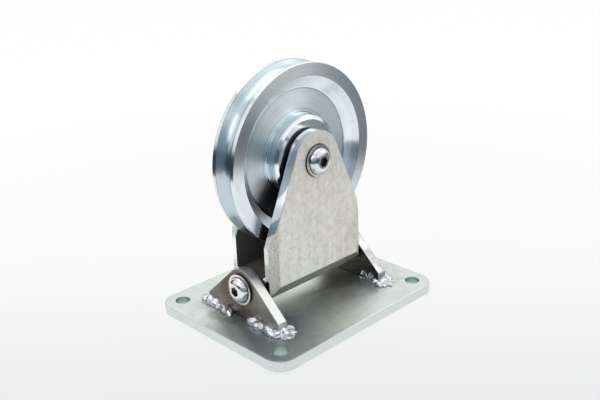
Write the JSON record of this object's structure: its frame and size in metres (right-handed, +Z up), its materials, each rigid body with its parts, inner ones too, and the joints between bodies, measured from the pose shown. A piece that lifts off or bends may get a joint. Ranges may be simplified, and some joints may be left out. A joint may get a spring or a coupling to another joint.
{
  "type": "swivel rope pulley",
  "caption": "Rope pulley: a turned grooved wheel on ball bearings in a welded fork that tilts between lugs on a bolt-down base plate.",
  "frame": {"origin": "middle of the base plate's underside", "axes": "+X along the pivot and the plate's long side, +Y along the wheel's axle, +Z up from the plate"},
  "size_m": [0.125, 0.1, 0.138],
  "materials": {
    "plate_zinc": "satin zinc, mottled",
    "lug_steel": "heat-tinted mill face, bright cut edges",
    "weld_metal": "bright lumpy bead",
    "cheek_steel": "satin, warm grey",
    "block_steel": "dark mill scale",
    "sheave_zinc": "turned, bright zinc with a bluish tint",
    "screw_steel": "polished",
    "bush_bronze": "plain bronze",
    "bearing_steel": "ground",
    "cage_steel": "plain",
    "seal_rubber": "matt"
  },
  "bodies": {
    "base": {"base_plate": "plate_zinc", "left_lug": "lug_steel", "left_lug_welds": "weld_metal", "left_pivot_bush": "bush_bronze", "right_lug": "lug_steel", "right_lug_welds": "weld_metal", "right_pivot_bush": "bush_bronze"},
    "fork": {"pivot_block": "block_steel", "fork_welds": "weld_metal", "axle_pin": "bearing_steel", "bearing_spacer": "bearing_steel", "left_pivot_screw": "screw_steel", "right_pivot_screw": "screw_steel", "front_cheek": "cheek_steel", "front_axle_screw": "screw_steel", "front_axle_spacer": "bearing_steel", "front_bearing_inner_ring": "bearing_steel", "rear_cheek": "cheek_steel", "rear_axle_screw": "screw_steel", "rear_axle_spacer": "bearing_steel", "rear_bearing_inner_ring": "bearing_steel"},
    "wheel": {"sheave": "sheave_zinc", "front_bearing_outer_ring": "bearing_steel", "front_bearing_seals": "seal_rubber", "rear_bearing_outer_ring": "bearing_steel", "rear_bearing_seals": "seal_rubber"},
    "front_ball_set": {"front_bearing_balls": "bearing_steel", "front_bearing_cage": "cage_steel"},
    "rear_ball_set": {"rear_bearing_balls": "bearing_steel", "rear_bearing_cage": "cage_steel"}
  },
  "joints": [
    {"name": "fork_tilt", "type": "hinge", "parent": "base", "child": "fork", "pos_m": [0, 0, 0.023], "axis": [1, 0, 0], "range_deg": [-80, 80]},
    {"name": "wheel_spin", "type": "hinge", "parent": "fork", "child": "wheel", "pos_m": [0, 0, 0.088], "axis": [0, 1, 0], "continuous": true},
    {"name": "front_balls_roll", "type": "hinge", "parent": "fork", "child": "front_ball_set", "pos_m": [0, 0, 0.088], "axis": [0, 1, 0], "continuous": true},
    {"name": "rear_balls_roll", "type": "hinge", "parent": "fork", "child": "rear_ball_set", "pos_m": [0, 0, 0.088], "axis": [0, 1, 0], "continuous": true}
  ],
  "couplings": [
    {"joint": "front_balls_roll", "follows": "wheel_spin", "ratio": 0.619},
    {"joint": "rear_balls_roll", "follows": "wheel_spin", "ratio": 0.619}
  ]
}
